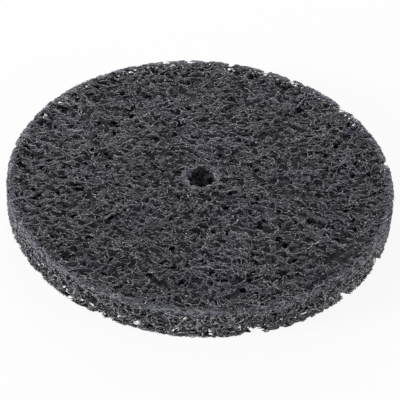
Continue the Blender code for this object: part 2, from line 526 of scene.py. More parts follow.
@dataclass
class Tears:
    """Where the web never closed: ragged openings over the large voids, and smaller ones between.

    Attributes:
        blank: The blank that holds them.
        pits: The large voids.
        coarse: Unevenness of the openings.
        fine: Raggedness of their borders.
        shares: Strength of the coarse and of the fine field.
        pull: How strongly a large void opens the web.
        need: Level that the sum has to pass.
        band: Width of the closed ring along the rim, in millimetres.
        collar: Width of the closed ring round the bore, in millimetres.
        fade: Distance over which a ring fades out, in millimetres.
        head: Height of the closed ring under the upper face, in millimetres.
        foot: Height of the closed ring over the lower face, in millimetres.
        closed: How firmly the rings are closed.
        rim_lip: Distance inside of the rim over which its ring opens again, in millimetres.
        rim_fade: Distance over which it does so, in millimetres.
        rim_left: Share of the ring that is left there.
        bore_lip: Width of the open edge of the bore, in millimetres.
        bore_closed: How firmly the ring round the bore is closed, against that of the rim.
    """

    blank: Blank
    pits: Voids
    coarse: Patches = Patches(size=1.7, waves=24, seed=61, stretch=1.6)
    fine: Patches = Patches(size=0.85, waves=24, seed=62, stretch=1.4)
    shares: tuple[float, float] = (0.52, 0.5)
    pull: float = 1.9
    need: float = 0.52
    band: float = 3.4
    collar: float = 3.4
    fade: float = 1.5
    head: float = 2.2
    foot: float = 1.9
    closed: float = 0.9
    rim_lip: float = 0.3
    rim_fade: float = 0.6
    rim_left: float = 0.3
    bore_lip: float = 0.2
    bore_closed: float = 0.7

    def at(self, points: Array) -> Array:
        """Reads how open the web is, which is above zero in an opening.

        Args:
            points: Points in rows of three.

        Returns:
            A value for each point.
        """
        near = np.array([self.pits.tree.find(point)[1] for point in points])
        _, distance = self.pits.from_middle(points, near)
        pulled = self.pull * np.exp(-((distance / self.pits.radii[near]) ** 2))
        reach = np.hypot(points[:, 0], points[:, 1])
        ring = np.clip((reach - self.blank.radius + self.band) / self.fade, 0, 1)
        ring *= np.clip((self.blank.radius - self.rim_lip - reach) / self.rim_fade, self.rim_left, 1)
        under = self.blank.thickness - points[:, 2]
        ring *= np.clip(np.maximum(self.head - under, self.foot - points[:, 2]), 0, 1)
        around = (self.blank.bore + self.collar - reach) / self.fade
        around = np.clip(np.minimum(around, reach - self.blank.bore - self.bore_lip), 0, 1)
        ring = np.maximum(ring, self.bore_closed * around)
        uneven = self.shares[0] * self.coarse.at(points) + self.shares[1] * self.fine.at(points)
        return uneven + pulled - self.need - self.closed * ring


@dataclass(frozen=True)
class Web:
    """The openness of the mat: its voids, from coarse to fine, and how uneven they are.

    Attributes:
        tears: The openings in its skins.
        voids: The sets of voids.
        shift: How far the web is shifted to make its voids uneven, in millimetres.
        span: Usual distance between such shifts, in millimetres.
    """

    tears: Tears
    voids: tuple[Voids, ...]
    shift: float = 0.32
    span: float = 2.8

    def open(self, points: Array, share: Array | float = 1.0) -> Array:
        """Opens the voids in rows of points.

        Args:
            points: Points in rows of three.
            share: How far each point gives way to the voids, from 0 to 1.

        Returns:
            The moved points.
        """
        moved = points
        for voids in self.voids:
            moved = voids.push(moved)
        moved = points + (moved - points) * share
        fields = [Patches(size=self.span, waves=16, seed=40 + axis, stretch=1.3) for axis in range(3)]
        shake = np.stack([field.at(moved) for field in fields], axis=-1)
        return moved + shake * (self.shift, self.shift, self.shift / 2)


@dataclass(frozen=True)
class Lay:
    """How the strands of one layer lie. Sizes are in millimetres and angles in radians.

    Attributes:
        wrap: How the layer lies in the blank.
        strands: Number of strands that are started.
        points: Number of points along a strand.
        step: Distance between points.
        low: Lowest starting height.
        high: Highest starting height.
        inner: Smallest starting radius.
        outer: Largest starting radius.
        width: Usual half width of a strand.
        height: Usual half height of a strand.
        tilt: How steeply strands climb.
        firm: How firmly the flat of a strand is kept along the layer, from 0 to 1.
        seed: Start of the random draws.
        crossing: Share of the strands that run on across the voids.
        carded: Share of the strands that follow the carding.
        yields: How far strands give way to the voids, from 0 to 1.
        torn: How open the web has to be where strands end.
        curl: How strongly the strands are crimped.
    """

    wrap: Wrap
    strands: int
    points: int
    step: float
    low: float
    high: float
    inner: float
    outer: float
    width: float
    height: float
    tilt: float
    firm: float
    seed: int
    crossing: float = 0.15
    carded: float = 0.6
    yields: float = 1.0
    torn: float = NEVER
    curl: float = 1.0


@dataclass(frozen=True)
class Crimp:
    """The waves of crimped fibres, in radians or as a share of a size.

    Attributes:
        least: Least height of the waves.
        most: Greatest height of the waves.
        short: Least length of the waves in millimetres.
        long: Greatest length of the waves in millimetres.
    """

    least: float
    most: float
    short: float
    long: float

    def draw(self, rng: np.random.Generator, count: int, along: Array) -> Array:
        """Draws the waves of a number of strands.

        Args:
            rng: Source of the random draws.
            count: Number of strands.
            along: Distances along a strand.

        Returns:
            A value for each point of each strand.
        """
        size = rng.uniform(self.least, self.most, (count, 1))
        length = rng.uniform(self.short, self.long, (count, 1))
        return size * np.sin(math.tau * along / length + rng.uniform(0, math.tau, (count, 1)))


@dataclass
class Strands:
    """The strands of one layer, as rows of points with a cross-section at each.

    Attributes:
        blank: The blank that they lie in.
        web: The voids that they keep out of.
        lay: How they lie.
        sway: Their waves to the sides.
        swell: Their waves up and down.
        lumps: The waves of their thickness.
        carding: Usual heading of the carded strands, and its spread.
        wander: How far a strand turns at random from point to point.
        spread: How much strands differ in thickness, as the spread of its logarithm.
        bounds: Least and greatest thickness of a strand, as a share of the usual one.
        lumpy: How much the thickness changes in waves.
        rough: How much the thickness changes from point to point.
        ragged: Least and most by which the punch cut a strand short.
        past_rim: How far past the rim strands may reach before they are packed.
        past_bore: How far into the bore strands may reach before they are packed.
        stray: How far a strand may leave the span where its layer starts.
        fraying: How much strands differ in how torn the web is where they end.
        bridging: How much more torn it may be under strands that run on across the voids.
        taut: How far such strands give way to the voids, at least and at most.
        longest: Longest distance between two points of a strand, in steps.
        skim: Distance of a strand from a face.
    """

    blank: Blank
    web: Web
    lay: Lay
    sway: Crimp = Crimp(least=0.35, most=0.95, short=4.5, long=9.5)
    swell: Crimp = Crimp(least=0.5, most=1.0, short=5.0, long=11.0)
    lumps: Crimp = Crimp(least=0.5, most=1.0, short=3.0, long=7.0)
    carding: tuple[float, float] = (0.12, 0.5)
    wander: float = 0.10
    spread: float = 0.36
    bounds: tuple[float, float] = (0.6, 2.2)
    lumpy: float = 0.22
    rough: float = 0.12
    ragged: tuple[float, float] = (-0.3, 0.8)
    past_rim: float = 0.9
    past_bore: float = 0.6
    stray: float = 0.6
    fraying: float = 0.16
    bridging: float = 1.2
    taut: tuple[float, float] = (0.1, 0.5)
    longest: float = 2.6
    skim: float = 0.02

    def walk(self, rng: np.random.Generator) -> Array:
        """Lays the strands as crimped lines.

        Args:
            rng: Source of the random draws.

        Returns:
            Points in the shape (strands, points, 3).
        """
        lay = self.lay
        n, m = lay.strands, lay.points
        reach = np.sqrt(rng.uniform(lay.inner**2, lay.outer**2, n))
        bearing = rng.uniform(0, math.tau, n)
        start = np.stack([reach * np.cos(bearing), reach * np.sin(bearing)], axis=1)
        height = rng.uniform(lay.low, lay.high, n)
        along = np.arange(m) * lay.step
        carded = rng.random(n) < lay.carded
        heading = np.where(carded, rng.normal(*self.carding, n), rng.uniform(0, math.pi, n))[:, None]
        heading = heading + lay.curl * self.sway.draw(rng, n, along)
        heading += np.cumsum(rng.normal(0, self.wander, (n, m)), axis=1)
        climb = self.swell.draw(rng, n, along) * lay.tilt
        flat = np.cos(climb) * lay.step
        steps = np.stack([np.cos(heading) * flat, np.sin(heading) * flat, np.sin(climb) * lay.step], axis=-1)
        path = np.cumsum(steps, axis=1)
        path -= path[:, m // 2 : m // 2 + 1]
        if lay.wrap is Wrap.ROUND:
            angle = bearing[:, None] + path[..., 0] / reach[:, None]
            far = reach[:, None] + path[..., 2]
            rise = height[:, None] + path[..., 1]
            return np.stack([far * np.cos(angle), far * np.sin(angle), rise], axis=-1)
        path[..., :2] += start[:, None]
        path[..., 2] += height[:, None]
        return path

    def sections(self, rng: np.random.Generator) -> tuple[Array, Array]:
        """Gives each point of each strand its half width and half height.

        Args:
            rng: Source of the random draws.

        Returns:
            Half widths and half heights.
        """
        lay = self.lay
        n, m = lay.strands, lay.points
        usual = np.clip(np.exp(rng.normal(0, self.spread, (n, 1))), *self.bounds)
        along = np.arange(m) * lay.step
        lumps = 1 + self.lumpy * self.lumps.draw(rng, n, along)
        lumps += self.rough * rng.normal(size=(n, m))
        return lay.width * usual * lumps, lay.height * np.sqrt(usual) * lumps

    def kept(self, rng: np.random.Generator, points: Array) -> Array:
        """Says which points the punch leaves, and where a strand that a void tore stays whole.

        Args:
            rng: Source of the random draws.
            points: Points of the strands.

        Returns:
            True for each point that stays.
        """
        lay = self.lay
        reach = np.hypot(points[..., 0], points[..., 1])
        ragged = rng.uniform(*self.ragged, (lay.strands, 1))
        keep = reach < self.blank.radius + self.past_rim - ragged
        keep &= reach > self.blank.bore - self.past_bore + ragged / 2
        keep &= (reach > lay.inner - self.stray) & (reach < lay.outer + self.stray)
        keep &= (points[..., 2] > lay.low - self.stray) & (points[..., 2] < lay.high + self.stray)
        keep &= ~self.blank.bitten(points)
        if lay.torn < NEVER:
            loose = np.where(rng.random(lay.strands) < lay.crossing, self.bridging, 0.0)
            limit = lay.torn + rng.normal(0, self.fraying, lay.strands) + loose
            keep &= self.web.tears.at(points.reshape(-1, 3)).reshape(keep.shape) < limit[:, None]
        jump = np.linalg.norm(np.diff(points, axis=1), axis=-1)
        keep[:, 1:] &= jump < self.longest * lay.step
        return keep

    def build(self) -> "Shape":
        """Makes the layer's tubes.

        Returns:
            Their shape.
        """
        rng = np.random.default_rng(self.lay.seed)
        path = self.walk(rng)
        shape = path.shape
        crosses = rng.random(shape[0]) < self.lay.crossing
        share = np.where(crosses, rng.uniform(*self.taut, shape[0]), self.lay.yields)
        share = np.repeat(share, shape[1])[:, None]
        path = self.web.open(path.reshape(-1, 3), share).reshape(shape)
        wide, high = self.sections(rng)
        keep = self.kept(rng, path)
        self.blank.press(path, high + self.skim)
        self.blank.gather(path, wide)
        return Tubes(self.lay.wrap, self.lay.firm).build(path, wide, high, keep)


@dataclass(frozen=True)
class Tubes:
    """Turns rows of points into closed tubes.

    Attributes:
        wrap: How the layer lies in the blank.
        firm: How firmly the flat of a tube is kept along the layer, from 0 to 1.
        sides: Number of sides of a tube.
        shortest: Fewest points that make a tube.
    """

    wrap: Wrap
    firm: float
    sides: int = 3
    shortest: int = 3

    def frames(self, path: Array) -> tuple[Array, Array, Array]:
        """Finds the directions along and across each strand at each of its points.

        Args:
            path: Points in the shape (strands, points, 3).

        Returns:
            Unit vectors along the strand, across it, and square to both.
        """
        along = np.gradient(path, axis=1)
        along /= np.maximum(np.linalg.norm(along, axis=-1, keepdims=True), 1e-9)
        flat = np.cross(normals(self.wrap, path), along)
        flat /= np.maximum(np.linalg.norm(flat, axis=-1, keepdims=True), TINY)
        across = np.empty_like(path)
        across[:, 0] = flat[:, 0]
        for k in range(1, path.shape[1]):
            last = across[:, k - 1]
            last = last - along[:, k] * np.sum(last * along[:, k], axis=-1, keepdims=True)
            sense = np.sign(np.sum(last * flat[:, k], axis=-1, keepdims=True) + 1e-9)
            mixed = last * (1 - self.firm) + sense * flat[:, k] * self.firm
            across[:, k] = mixed / np.maximum(np.linalg.norm(mixed, axis=-1, keepdims=True), 1e-9)
        return along, across, np.cross(along, across)

    def runs(self, keep: Array) -> tuple[Array, Array]:
        """Finds the unbroken runs of kept points.

        Args:
            keep: True for each kept point, in rows.

        Returns:
            First index and length of each run, counted over all rows.
        """
        padded = np.zeros((keep.shape[0], keep.shape[1] + 1), dtype=np.int8)
        padded[:, :-1] = keep
        turns = np.diff(np.concatenate([[0], padded.ravel(), [0]]))
        first, last = np.nonzero(turns == 1)[0], np.nonzero(turns == -1)[0]
        long_enough = last - first >= self.shortest
        first, length = first[long_enough], (last - first)[long_enough]
        row, column = np.divmod(first, keep.shape[1] + 1)
        return row * keep.shape[1] + column, length

    def build(self, path: Array, wide: Array, high: Array, keep: Array) -> "Shape":
        """Makes the faces of all the tubes.

        Args:
            path: Points in the shape (strands, points, 3), in millimetres.
            wide: Half width at each point.
            high: Half height at each point.
            keep: True for each point that stays.

        Returns:
            The tubes' shape.
        """
        along, across, square = self.frames(path)
        first, length = self.runs(keep)
        run = np.repeat(np.arange(len(first)), length)
        ends = np.cumsum(length)
        offset = np.arange(ends[-1]) - np.repeat(ends - length, length)
        picked = np.repeat(first, length) + offset
        spots = path.reshape(-1, 3)[picked]
        a, b = wide.ravel()[picked], high.ravel()[picked]
        turn = math.tau * np.arange(self.sides) / self.sides
        rings = spots[:, None] + (
            (a[:, None] * np.cos(turn))[..., None] * across.reshape(-1, 3)[picked][:, None]
            + (b[:, None] * np.sin(turn))[..., None] * square.reshape(-1, 3)[picked][:, None]
        )
        starts, stops = ends - length, ends - 1
        tips = np.concatenate(
            [
                spots[starts] - along.reshape(-1, 3)[picked[starts]] * b[starts, None],
                spots[stops] + along.reshape(-1, 3)[picked[stops]] * b[stops, None],
            ]
        )
        side = np.arange(self.sides)
        after = (side + 1) % self.sides
        here = np.nonzero(run[:-1] == run[1:])[0][:, None] * self.sides
        ahead = here + self.sides
        quads = np.stack([here + side, here + after, ahead + after, ahead + side], -1)
        tip = len(rings) * self.sides + np.arange(len(tips))
        head, tail = starts[:, None] * self.sides, stops[:, None] * self.sides
        fronts, backs = (np.repeat(half[:, None], self.sides, axis=1) for half in np.split(tip, 2))
        heads = np.stack([head + after, head + side, fronts], -1)
        tails = np.stack([tail + side, tail + after, backs], -1)
        triangles = np.concatenate([heads.reshape(-1, 3), tails.reshape(-1, 3)])
        return Shape(np.concatenate([rings.reshape(-1, 3), tips]), quads.reshape(-1, 4), triangles)


@dataclass
class Film:
    """A sheet of felted fibre and resin between the strands. Sizes are in millimetres.

    Attributes:
        blank: The blank that it lies in.
        web: The voids that it leaves open.
        wrap: How it lies in the blank.
        level: Height of the sheet, or its radius where it goes round.
        inner: Smallest radius that it reaches, or its lowest height.
        outer: Largest radius that it reaches, or its greatest height.
        spacing: Distance between its points.
        thick: Its thickness.
        waves: How far it rises and falls.
        torn: Level of the torn field above which the sheet is missing.
        seed: Start of the random draws.
        felt: Height of its fine relief.
        skin: Whether it is a skin, which opens where the web's tears are.
        yields: How far it gives way to the voids, from 0 to 1.
        jitter: How far its points are moved at random, in spacings.
        longest: Longest side of a triangle that is kept, in spacings.
        skim: Distance of its outside from a face.
    """

    blank: Blank
    web: Web
    wrap: Wrap
    level: float
    inner: float
    outer: float
    spacing: float
    thick: float
    waves: float
    torn: float
    seed: int
    felt: float = 0.0
    skin: bool = False
    yields: float = 1.0
    jitter: float = 0.26
    longest: float = 1.9
    skim: float = 0.1

    def grid(self) -> tuple[Array, Array]:
        """Makes the flat lattice of the sheet.

        Returns:
            Its points, and its triangles, which face up or outward.
        """
        rise = self.spacing * math.sqrt(3) / 2
        if self.wrap is Wrap.LEVEL:
            count = math.ceil(self.outer / rise) + 2
            rows, columns = np.mgrid[-count : count + 1, -count : count + 1]
            x = (columns + rows % 2 / 2) * self.spacing
            points = np.stack([x, rows * rise, np.full(x.shape, self.level)], axis=-1)
            used = slice(0, -1)
        else:
            wide = round(math.tau * self.level / self.spacing)
            rows, columns = np.mgrid[0 : math.ceil((self.outer - self.inner) / rise) + 1, 0:wide]
            turn = (columns + rows % 2 / 2) * math.tau / wide
            heights = self.inner + rows * rise
            points = np.stack([self.level * np.cos(turn), self.level * np.sin(turn), heights], axis=-1)
            used = slice(0, wide)
        index = np.arange(rows.size).reshape(rows.shape)
        beside = np.roll(index, -1, axis=1)
        here, right, up, over = (
            part[:, used].ravel() for part in (index[:-1], beside[:-1], index[1:], beside[1:])
        )
        odd = (rows[:-1, used] % 2 == 1).ravel()[:, None]
        first = np.where(odd, np.stack([here, right, over], 1), np.stack([here, right, up], 1))
        second = np.where(odd, np.stack([here, over, up], 1), np.stack([right, over, up], 1))
        return points.reshape(-1, 3), np.concatenate([first, second])

    def build(self) -> "Shape":
        """Makes the sheet.

        Returns:
            Its shape.
        """
        rng = np.random.default_rng(self.seed)
        points, faces = self.grid()
        points = points + rng.uniform(-self.jitter, self.jitter, points.shape) * self.spacing
        lift = self.waves * Patches(size=2.6, waves=18, seed=self.seed + 1).at(points)
        points = points + normals(self.wrap, points) * lift[:, None]
        reach = np.hypot(points[:, 0], points[:, 1])
        if self.skin:
            whole = self.web.tears.at(points) < self.torn
        else:
            whole = Patches(size=3.4, waves=24, seed=self.seed + 2).at(points) < self.torn
        whole &= ~self.blank.bitten(points)
        if self.wrap is Wrap.LEVEL:
            whole &= (reach < self.outer) & (reach > self.inner)
        faces = faces[whole[faces].all(axis=1)]
        used, faces = np.unique(faces, return_inverse=True)
        faces = faces.reshape(-1, 3)
        points = self.web.open(points[used], self.yields)
        if self.yields:
            edges = points[faces] - points[np.roll(faces, 1, axis=1)]
            faces = faces[np.linalg.norm(edges, axis=-1).max(axis=1) < self.longest * self.spacing]
        lift = self.felt * Patches(size=1.3, waves=30, seed=self.seed + 3, stretch=2.0).at(points)
        points = points + normals(self.wrap, points) * lift[:, None]
        half = np.full(len(points), self.thick / 2)
        self.blank.press(points, half + self.skim)
        self.blank.gather(points, half)
        return self.thicken(points, faces)

    def thicken(self, points: Array, faces: Array) -> "Shape":
        """Gives a sheet of triangles its thickness and closes its edges.

        Args:
            points: Corners of the sheet.
            faces: Triangles that face up or outward.

        Returns:
            The closed shape.
        """
        used, faces = np.unique(faces, return_inverse=True)
        faces = faces.reshape(-1, 3)
        points = points[used]
        count = len(points)
        lift = normals(self.wrap, points) * self.thick / 2
        sides = np.concatenate([faces[:, [0, 1]], faces[:, [1, 2]], faces[:, [2, 0]]])
        code = sides[:, 0] * count + sides[:, 1]
        back = sides[:, 1] * count + sides[:, 0]
        rim = sides[~np.isin(code, back)]
        quads = np.stack([rim[:, 1], rim[:, 0], rim[:, 0] + count, rim[:, 1] + count], axis=1)
        triangles = np.concatenate([faces, faces[:, ::-1] + count])
        return Shape(np.concatenate([points + lift, points - lift]), quads, triangles)


@dataclass
class Shape:
    """Corners and faces, with corners in millimetres.

    Attributes:
        verts: Corners.
        quads: Faces of four corners.
        triangles: Faces of three corners.
    """

    verts: Array
    quads: Array
    triangles: Array

    def joined(self, other: "Shape") -> "Shape":
        """Adds the faces of another shape.

        Args:
            other: The other shape.

        Returns:
            Both in one.
        """
        count = len(self.verts)
        return Shape(
            np.concatenate([self.verts, other.verts]),
            np.concatenate([self.quads, other.quads + count]),
            np.concatenate([self.triangles, other.triangles + count]),
        )

    def make(self, name: str) -> bpy.types.Object:
        """Makes a smooth-shaded object.

        Args:
            name: Name of the new object.

        Returns:
            The new object, linked to the scene.
        """
        mesh = bpy.data.meshes.new(name)
        mesh.vertices.add(len(self.verts))
        mesh.vertices.foreach_set("co", (self.verts * MM).astype(np.float32).ravel())
        corners = np.concatenate([self.quads.ravel(), self.triangles.ravel()])
        sizes = np.concatenate([np.full(len(self.quads), 4), np.full(len(self.triangles), 3)])
        mesh.loops.add(len(corners))
        mesh.loops.foreach_set("vertex_index", corners.astype(np.int32))
        mesh.polygons.add(len(sizes))
        starts = np.cumsum(sizes) - sizes
        mesh.polygons.foreach_set("loop_start", starts.astype(np.int32))
        mesh.update(calc_edges=True)
        mesh.validate()
        mesh.shade_smooth()
        obj = bpy.data.objects.new(name, mesh)
        bpy.context.scene.collection.objects.link(obj)
        return obj


def normals(wrap: Wrap, points: Array) -> Array:
    """Finds the direction square to a layer at each point.

    Args:
        wrap: How the layer lies.
        points: Points of it.

    Returns:
        Unit vectors.
    """
    out = np.zeros(points.shape)
    if wrap is Wrap.LEVEL:
        out[..., 2] = 1
    else:
        reach = np.maximum(np.hypot(points[..., 0], points[..., 1]), TINY)
        out[..., :2] = points[..., :2] / reach[..., None]
    return out


@dataclass(frozen=True)
class Grit:
    """Crystals of abrasive grain, stuck to the web. Sizes are in millimetres.

    Attributes:
        blank: The blank that they lie in.
        count: Number of crystals.
        least: Smallest half width.
        most: Largest half width.
        seed: Start of the random draws.
        flocked: Level of the field above which there are crystals.
        squat: Least size of a crystal along an axis, as a share of its half width.
    """

    blank: Blank
    count: int
    least: float
    most: float
    seed: int
    flocked: float = 0.15
    squat: float = 0.55

    def build(self, spots: Array) -> Shape:
        """Makes the crystals at places drawn from given spots.

        Args:
            spots: Points on the web that may carry a crystal.

        Returns:
            Their shape.
        """
        rng = np.random.default_rng(self.seed)
        flock = Patches(size=2.2, waves=20, seed=self.seed + 1).at(spots)
        flock = flock + 0.5 * Patches(size=11.0, waves=10, seed=self.seed + 2).at(spots)
        spots = spots[flock > self.flocked]
        spots = spots[rng.choice(len(spots), self.count, replace=False)]
        half = rng.uniform(self.least, self.most, self.count)
        skim = self.blank.skim
        spots[:, 2] = np.clip(spots[:, 2], half + skim, self.blank.thickness - half - skim)
        reach = np.hypot(spots[:, 0], spots[:, 1])
        spots[:, :2] *= np.minimum(1, (self.blank.radius - half) / reach)[:, None]
        corners = np.concatenate([np.eye(3), -np.eye(3)])
        turned = np.linalg.qr(rng.normal(size=(self.count, 3, 3)))[0]
        stretch = rng.uniform(self.squat, 1.0, (self.count, 6, 1)) * half[:, None, None]
        verts = spots[:, None] + corners @ turned * stretch
        upper = [(0, 1, 2), (1, 3, 2), (3, 4, 2), (4, 0, 2)]
        faces = np.array(upper + [(1, 0, 5), (3, 1, 5), (4, 3, 5), (0, 4, 5)])
        flip = np.linalg.det(turned) < 0
        triangles = np.where(flip[:, None, None], faces[:, ::-1], faces)
        triangles = triangles + 6 * np.arange(self.count)[:, None, None]
        return Shape(verts.reshape(-1, 3), np.empty((0, 4), int), triangles.reshape(-1, 3))


class Nodes:
    """Helpers that add nodes to a material."""

    def __init__(self, name: str) -> None:
        """Starts a new material.

        Args:
            name: Name of the material.
        """
        self.material = bpy.data.materials.new(name)
        self.material.use_nodes = True
        self.tree = self.material.node_tree
        self.shader = self.tree.nodes["Principled BSDF"]
        self.place = self.tree.nodes.new("ShaderNodeTexCoord").outputs["Object"]

    def stretched(self, scale: tuple[float, float, float]) -> Socket:
        """Adds coordinates that are scaled along each axis.

        Args:
            scale: Scale along x, y and z.

        Returns:
            The output socket.
        """
        node = self.tree.nodes.new("ShaderNodeMapping")
        node.inputs["Scale"].default_value = scale
        self.tree.links.new(self.place, node.inputs["Vector"])
        return node.outputs["Vector"]

    def noise(self, place: Socket, scale: float, detail: float) -> Socket:
        """Adds a noise texture.

        Args:
            place: Coordinates that it reads.
            scale: Its scale per metre.
            detail: Its number of octaves.

        Returns:
            The socket of its value.
        """
        node = self.tree.nodes.new("ShaderNodeTexNoise")
        node.inputs["Scale"].default_value = scale
        node.inputs["Detail"].default_value = detail
        self.tree.links.new(place, node.inputs["Vector"])
        return node.outputs["Fac"]

    def specks(self, scale: float) -> Socket:
        """Adds a texture of cells, each with a value of its own.

        Args:
            scale: Its scale per metre.

        Returns:
            The socket of the cells' values.
        """
        node = self.tree.nodes.new("ShaderNodeTexVoronoi")
        node.inputs["Scale"].default_value = scale
        self.tree.links.new(self.place, node.inputs["Vector"])
        parts = self.tree.nodes.new("ShaderNodeSeparateColor")
        self.tree.links.new(node.outputs["Color"], parts.inputs["Color"])
        return parts.outputs["Red"]

    def ramp(
        self, value: Socket, low: float, high: float, first: float = 0.0, last: float = 1.0
    ) -> Socket:
        """Stretches a value so that it runs from first at low to last at high.

        Args:
            value: The socket that it reads.
            low: Value that becomes first.
            high: Value that becomes last.
            first: Least result.
            last: Greatest result.

        Returns:
            The output socket.
        """
        node = self.tree.nodes.new("ShaderNodeMapRange")
        for name, number in zip(("From Min", "From Max", "To Min", "To Max"), (low, high, first, last)):
            node.inputs[name].default_value = number
        self.tree.links.new(value, node.inputs["Value"])
        return node.outputs["Result"]

    def mix(self, share: Socket, first: Socket | Colour, second: Socket | Colour) -> Socket:
        """Mixes two colours, each a socket or three numbers.

        Args:
            share: Share of the second colour.
            first: First colour.
            second: Second colour.

        Returns:
            The output socket.
        """
        node = self.tree.nodes.new("ShaderNodeMix")
        node.data_type = "RGBA"
        self.tree.links.new(share, node.inputs["Factor"])
        for socket, colour in ((node.inputs[6], first), (node.inputs[7], second)):
            if isinstance(colour, tuple):
                socket.default_value = (*colour, 1.0)
            else:
                self.tree.links.new(colour, socket)
        return node.outputs[2]

    def bump(self, height: Socket, strength: float, distance: float) -> None:
        """Bumps the surface by a height.

        Args:
            height: The socket that it reads.
            strength: Strength from 0 to 1.
            distance: Height in metres at a value of 1.
        """
        node = self.tree.nodes.new("ShaderNodeBump")
        node.inputs["Strength"].default_value = strength
        node.inputs["Distance"].default_value = distance
        self.tree.links.new(height, node.inputs["Height"])
        self.tree.links.new(node.outputs["Normal"], self.shader.inputs["Normal"])

    def strand_tone(self, low: float, high: float) -> Socket:
        """Adds a tone that differs from strand to strand.

        Args:
            low: Least tone.
            high: Greatest tone.

        Returns:
            The socket of the tone.
        """
        strand = self.tree.nodes.new("ShaderNodeNewGeometry").outputs["Random Per Island"]
        return self.ramp(strand, low=0.0, high=1.0, first=low, last=high)

    def ring(self, inner: float, outer: float) -> Socket:
        """Adds a share that goes from 0 to 1 between two distances from the axis.

        Args:
            inner: Distance in metres where it is 0.
            outer: Distance in metres where it is 1.

        Returns:
            The output socket.
        """
        flat = self.stretched((1.0, 1.0, 0.0))
        node = self.tree.nodes.new("ShaderNodeVectorMath")
        node.operation = "LENGTH"
        self.tree.links.new(flat, node.inputs[0])
        return self.ramp(node.outputs["Value"], inner, outer)

    def rim_highlight_and_pale_bore(self, most: float) -> Socket:
        """Adds the share of a paler tone: a painted highlight along the rim's upper edge, and a paler ring
        round the bore.

        Args:
            most: Greatest share.

        Returns:
            The output socket.
        """
        parts = self.tree.nodes.new("ShaderNodeSeparateXYZ")
        self.tree.links.new(self.place, parts.inputs["Vector"])
        # The ring along the rim is a painted highlight, kept to its upper edge where the light catches it.
        upper = self.ramp(parts.outputs["Z"], low=0.0112, high=0.0122)
        rim = self.math("MULTIPLY", self.ring(inner=0.0718, outer=0.0742), upper)
        total = self.math("MAXIMUM", rim, self.ring(inner=0.0078, outer=0.0058))
        blotches = self.noise(self.place, scale=420.0, detail=2.0)
        uneven = self.ramp(blotches, low=0.42, high=0.60, first=0.15 * most, last=most)
        return self.math("MULTIPLY", total, uneven)

    def math(self, operation: str, first: Socket, second: Socket) -> Socket:
        """Adds a math node that combines two sockets.

        Args:
            operation: Name of the operation.
            first: First socket.
            second: Second socket.

        Returns:
            The output socket.
        """
        node = self.tree.nodes.new("ShaderNodeMath")
        node.operation = operation
        self.tree.links.new(first, node.inputs[0])
        self.tree.links.new(second, node.inputs[1])
        return node.outputs[0]

    def link(self, value: Socket, name: str) -> None:
        """Links a value to an input of the shader."""
        self.tree.links.new(value, self.shader.inputs[name])


@dataclass(frozen=True)
class ResinFinish:
    """Charcoal resin over fibres, full of fine grain.

    Attributes:
        name: Name of the material.
        dark: Colour of the resin.
        pale: Colour of bare fibres; the finishes of the rim and of the nap raise it into a painted
            highlight.
        cool: Colour where the resin pooled.
        grain_and_glint: Colour of pale specks: grain at the surface, also painted glints.
        roughness: Usual roughness.
        highlight_and_pale_ring: Painted highlight on the rim's upper edge, and paler tone round the bore.
        edge: Greatest share of that colour.
        sheen: Strength of its mirrored light.
    """

    name: str
    dark: Colour
    pale: Colour
    cool: Colour
    grain_and_glint: Colour
    roughness: float
    highlight_and_pale_ring: Colour = (0.30, 0.30, 0.37)
    edge: float = 0.9
    sheen: float = 0.5

    def make(self) -> Material:
        """Builds the material's nodes.

        Returns:
            The new material.
        """
        nodes = Nodes(self.name)
        fibre = nodes.noise(nodes.stretched(ALONG_X), scale=1500.0, detail=3.0)
        patch = nodes.noise(nodes.place, scale=60.0, detail=2.0)
        fibres = nodes.mix(nodes.ramp(fibre, low=0.42, high=0.62), self.dark, self.pale)
        toned = nodes.mix(nodes.strand_tone(low=0.0, high=0.75), fibres, self.dark)
        pools = nodes.ramp(patch, low=0.52, high=0.66, first=0.0, last=0.7)
        pooled = nodes.mix(pools, toned, self.cool)
        # Painted highlight along the rim's upper edge, and a paler ring round the bore.
        highlight_and_pale_ring = nodes.mix(nodes.rim_highlight_and_pale_bore(self.edge), pooled, self.highlight_and_pale_ring)
        # Pale specks: grain at the surface, and painted glints.
        grain = nodes.ramp(nodes.specks(scale=2900.0), low=0.88, high=0.96)
        nodes.link(nodes.mix(grain, highlight_and_pale_ring, self.grain_and_glint), "Base Color")
        nodes.shader.inputs["Specular IOR Level"].default_value = self.sheen
        glossy, dull = self.roughness - 0.12, self.roughness + 0.2
        nodes.link(nodes.ramp(fibre, low=0.3, high=0.7, first=glossy, last=dull), "Roughness")
        relief = nodes.noise(nodes.stretched(ALONG_X), scale=2400.0, detail=2.0)
        nodes.bump(relief, strength=0.8, distance=0.0004)
        return nodes.material


FIBRE = ResinFinish(
    name="resined_fibre",
    dark=(0.016, 0.016, 0.022),
    pale=(0.080, 0.081, 0.100),
    cool=(0.062, 0.062, 0.100),
    grain_and_glint=(0.40, 0.40, 0.43),
    roughness=0.4,
    sheen=0.33,
)
# Loose hairs of the rim, painted near white as a painted highlight on the wall.
HIGHLIT_HAIR = ResinFinish(
    name="highlit_loose_hair",
    dark=(0.020, 0.020, 0.026),
    pale=(0.78, 0.78, 0.83),
    cool=(0.12, 0.12, 0.16),
    grain_and_glint=(0.60, 0.60, 0.63),
    roughness=0.36,
    edge=0.3,
)
# Fibres bared at the rim's cut and in the nap, made paler still as a painted highlight.
BARE_AND_HIGHLIT = ResinFinish(
    name="bare_and_highlit_fibre",
    dark=(0.020, 0.020, 0.026),
    pale=(0.44, 0.44, 0.49),
    cool=(0.075, 0.075, 0.108),
    grain_and_glint=(0.50, 0.50, 0.53),
    roughness=0.38,
    edge=0.3,
    sheen=0.42,
)
